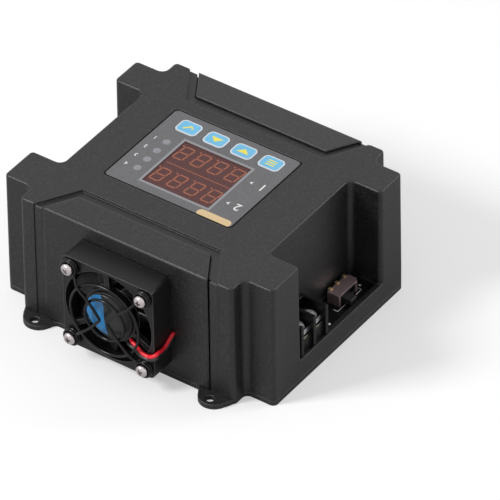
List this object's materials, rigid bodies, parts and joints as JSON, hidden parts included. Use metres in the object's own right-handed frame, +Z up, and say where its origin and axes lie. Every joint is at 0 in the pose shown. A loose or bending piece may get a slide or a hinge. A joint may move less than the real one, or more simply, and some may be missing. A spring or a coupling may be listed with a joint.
{
  "type": "programmable dc power supply",
  "caption": "Bench dc power supply module in a low plastic case with printed keys, a digital display, side terminal bays, a guarded fan and mounting ears.",
  "frame": {"origin": "centre of the underside of the base plate, which rests on the bench", "axes": "+X towards the side with the output terminals and the slide switch, -Y towards the fan, +Z up"},
  "size_m": [0.119, 0.1182, 0.0531],
  "materials": {
    "case_plastic": "fine spark-eroded texture, charcoal",
    "base_plastic": "fine texture, charcoal",
    "zinc_screw": "zinc plated",
    "bright_screw": "bright nickel plate",
    "overlay_film": "printed matt polycarbonate film",
    "window_film": "dark red window film",
    "display_body": "cast epoxy face",
    "lamp_lens": "diffused lens",
    "circuit_board": "black solder mask",
    "switch_black": "moulded nylon",
    "white_nylon": "moulded nylon",
    "grey_cable": "pvc ribbon",
    "heatsink_alloy": "plain extrusion",
    "component_black": "moulded epoxy",
    "core_yellow": "lacquered iron powder",
    "copper_wire": "enamelled copper",
    "capacitor_sleeve": "shrunk sleeve",
    "shunt_metal": "drawn alloy wire",
    "terminal_black": "moulded thermoplastic",
    "tinned_brass": "tin plated",
    "switch_shell": "nickel plated pressing",
    "gilt_contact": "gilt contact",
    "fan_plastic": "glass filled moulding",
    "ferrite": "bonded ferrite",
    "shaft_steel": "ground",
    "bronze": "sintered bronze",
    "label_film": "printed label film",
    "guard_wire": "black coated wire",
    "red_lead": "pvc insulation",
    "black_lead": "pvc insulation",
    "key_film": "embossed printed film",
    "stem_nylon": "moulded nylon",
    "clamp_steel": "nickel plated pressing",
    "terminal_screw": "nickel plated steel"
  },
  "bodies": {
    "case": {"top_shell": "case_plastic", "base_plate": "base_plastic", "front_end_cover": "case_plastic", "rear_end_cover": "case_plastic", "base_screws": "zinc_screw", "overlay": "overlay_film", "display_window": "window_film", "key_switches": "switch_black", "display_upper": "display_body", "display_lower": "display_body", "status_leds": "lamp_lens", "control_board": "circuit_board", "control_board_screws": "zinc_screw", "power_board": "circuit_board", "power_board_screws": "zinc_screw", "board_sockets": "white_nylon", "cable_plugs": "white_nylon", "link_cable": "grey_cable", "heatsink": "heatsink_alloy", "power_transistors": "component_black", "inductor_core": "core_yellow", "inductor_winding": "copper_wire", "input_capacitors": "capacitor_sleeve", "output_capacitors": "capacitor_sleeve", "current_shunt": "shunt_metal", "output_terminal_block": "terminal_black", "input_terminal_block": "terminal_black", "output_contacts": "tinned_brass", "input_contacts": "tinned_brass", "switch_body": "switch_shell", "switch_base": "switch_black", "switch_contacts": "gilt_contact", "fan_frame": "fan_plastic", "fan_bearing": "bronze", "fan_stator": "copper_wire", "fan_label": "label_film", "fan_guard": "guard_wire", "fan_screws": "bright_screw", "fan_lead_red": "red_lead", "fan_lead_black": "black_lead"},
    "fan_rotor": {"fan_rotor": "fan_plastic", "fan_magnet": "ferrite", "fan_shaft": "shaft_steel"},
    "key_menu": {"key_menu": "key_film", "stem_menu": "stem_nylon"},
    "key_up": {"key_up": "key_film", "stem_up": "stem_nylon"},
    "key_down": {"key_down": "key_film", "stem_down": "stem_nylon"},
    "key_enter": {"key_enter": "key_film", "stem_enter": "stem_nylon"},
    "switch_knob": {"switch_knob": "switch_black"},
    "output_clamp_front": {"output_clamp_front": "clamp_steel"},
    "output_screw_front": {"output_screw_front": "terminal_screw"},
    "output_clamp_rear": {"output_clamp_rear": "clamp_steel"},
    "output_screw_rear": {"output_screw_rear": "terminal_screw"},
    "input_clamp_front": {"input_clamp_front": "clamp_steel"},
    "input_screw_front": {"input_screw_front": "terminal_screw"},
    "input_clamp_rear": {"input_clamp_rear": "clamp_steel"},
    "input_screw_rear": {"input_screw_rear": "terminal_screw"}
  },
  "joints": [
    {"name": "fan_spin", "type": "hinge", "parent": "case", "child": "fan_rotor", "pos_m": [0, -0.0485, 0.0265], "axis": [0, 1, 0], "continuous": true},
    {"name": "key_menu_press", "type": "slide", "parent": "case", "child": "key_menu", "axis": [0, 0, -1], "range_m": [0, 0.0003], "stiffness_N_per_m": 2000},
    {"name": "key_up_press", "type": "slide", "parent": "case", "child": "key_up", "axis": [0, 0, -1], "range_m": [0, 0.0003], "stiffness_N_per_m": 2000},
    {"name": "key_down_press", "type": "slide", "parent": "case", "child": "key_down", "axis": [0, 0, -1], "range_m": [0, 0.0003], "stiffness_N_per_m": 2000},
    {"name": "key_enter_press", "type": "slide", "parent": "case", "child": "key_enter", "axis": [0, 0, -1], "range_m": [0, 0.0003], "stiffness_N_per_m": 2000},
    {"name": "switch_slide", "type": "slide", "parent": "case", "child": "switch_knob", "axis": [0, 1, 0], "range_m": [0, 0.004]},
    {"name": "output_clamp_front_lift", "type": "slide", "parent": "case", "child": "output_clamp_front", "axis": [0, 0, 1], "range_m": [-0.001, 0.0015]},
    {"name": "output_screw_front_turn", "type": "hinge", "parent": "output_clamp_front", "child": "output_screw_front", "pos_m": [0.05377, -0.01859, 0.0185], "axis": [0, 0, 1], "range_deg": [-620, 930]},
    {"name": "output_clamp_rear_lift", "type": "slide", "parent": "case", "child": "output_clamp_rear", "axis": [0, 0, 1], "range_m": [-0.001, 0.0015]},
    {"name": "output_screw_rear_turn", "type": "hinge", "parent": "output_clamp_rear", "child": "output_screw_rear", "pos_m": [0.05377, -0.01097, 0.0185], "axis": [0, 0, 1], "range_deg": [-620, 930]},
    {"name": "input_clamp_front_lift", "type": "slide", "parent": "case", "child": "input_clamp_front", "axis": [0, 0, 1], "range_m": [-0.001, 0.0015]},
    {"name": "input_screw_front_turn", "type": "hinge", "parent": "input_clamp_front", "child": "input_screw_front", "pos_m": [-0.05377, -0.01859, 0.0185], "axis": [0, 0, 1], "range_deg": [-620, 930]},
    {"name": "input_clamp_rear_lift", "type": "slide", "parent": "case", "child": "input_clamp_rear", "axis": [0, 0, 1], "range_m": [-0.001, 0.0015]},
    {"name": "input_screw_rear_turn", "type": "hinge", "parent": "input_clamp_rear", "child": "input_screw_rear", "pos_m": [-0.05377, -0.01097, 0.0185], "axis": [0, 0, 1], "range_deg": [-620, 930]}
  ],
  "couplings": [
    {"joint": "output_screw_front_turn", "follows": "output_clamp_front_lift", "rad_per_m": 10472},
    {"joint": "output_screw_rear_turn", "follows": "output_clamp_rear_lift", "rad_per_m": 10472},
    {"joint": "input_screw_front_turn", "follows": "input_clamp_front_lift", "rad_per_m": 10472},
    {"joint": "input_screw_rear_turn", "follows": "input_clamp_rear_lift", "rad_per_m": 10472}
  ]
}
